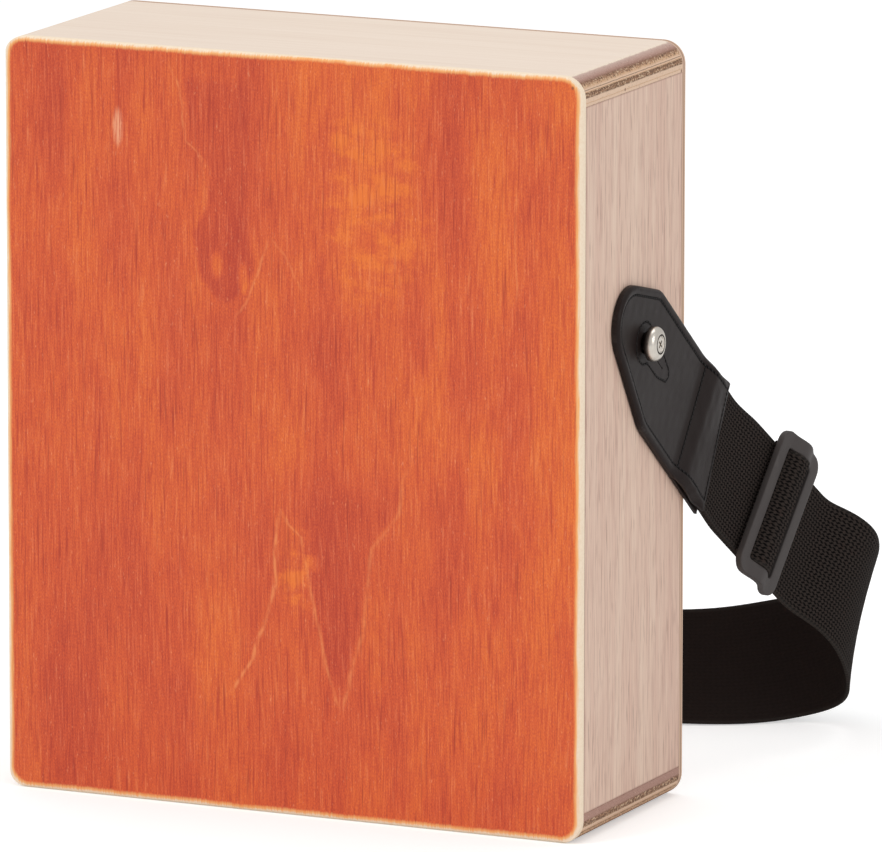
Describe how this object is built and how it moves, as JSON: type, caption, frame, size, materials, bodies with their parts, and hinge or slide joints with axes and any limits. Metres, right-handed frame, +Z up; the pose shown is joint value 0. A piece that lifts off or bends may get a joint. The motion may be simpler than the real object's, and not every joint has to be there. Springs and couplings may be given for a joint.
{
  "type": "strapped cajon",
  "caption": "Compact plywood box drum with a stained playing panel, snare wires behind it, a sound hole and a carrying strap that hangs on side buttons.",
  "frame": {"origin": "centre of the box's underside, at the middle of its width and depth", "axes": "+Z up, -Y the playing panel's outward side, +X to the right seen from the front"},
  "size_m": [0.3128, 0.2623, 0.305],
  "materials": {
    "stained_face": "satin",
    "end_panels": "satin",
    "side_panels": "satin",
    "back_veneer": "satin",
    "inner_wood": "raw",
    "snare_steel": "bright",
    "button_nickel": "nickel",
    "tab_leather": "smooth",
    "strap_fabric": "woven",
    "slider_plastic": "matte"
  },
  "bodies": {
    "drum": {"tapa": "stained_face", "top_panel": "end_panels", "bottom_panel": "end_panels", "side_panel_right": "side_panels", "side_panel_left": "side_panels", "back_panel": "back_veneer", "glue_blocks_top": "inner_wood", "glue_blocks_bottom": "inner_wood", "snare_bar": "inner_wood", "bar_cleat_right": "inner_wood", "bar_cleat_left": "inner_wood", "snare_wires_right": "snare_steel", "snare_wires_left": "snare_steel", "snare_clips_right": "snare_steel", "snare_clips_left": "snare_steel", "snare_screws": "snare_steel", "strap_button_right": "button_nickel", "strap_button_left": "button_nickel", "button_screw_right": "button_nickel", "button_screw_left": "button_nickel"},
    "strap": {"tab_inner_right": "tab_leather", "tab_outer_right": "tab_leather", "tab_inner_left": "tab_leather", "tab_outer_left": "tab_leather", "strap_webbing": "strap_fabric", "strap_return_right": "strap_fabric", "strap_return_left": "strap_fabric"},
    "slider": {"slider_frame": "slider_plastic", "slider_fold": "strap_fabric"}
  },
  "joints": [
    {"name": "strap_swing", "type": "hinge", "parent": "drum", "child": "strap", "pos_m": [0, 0.005, 0.1915], "axis": [1, 0, 0], "range_deg": [0, 260]},
    {"name": "slider_slide", "type": "slide", "parent": "strap", "child": "slider", "axis": [0.1305, 0.7813, -0.6104], "range_m": [-0.014, 0.01]}
  ]
}
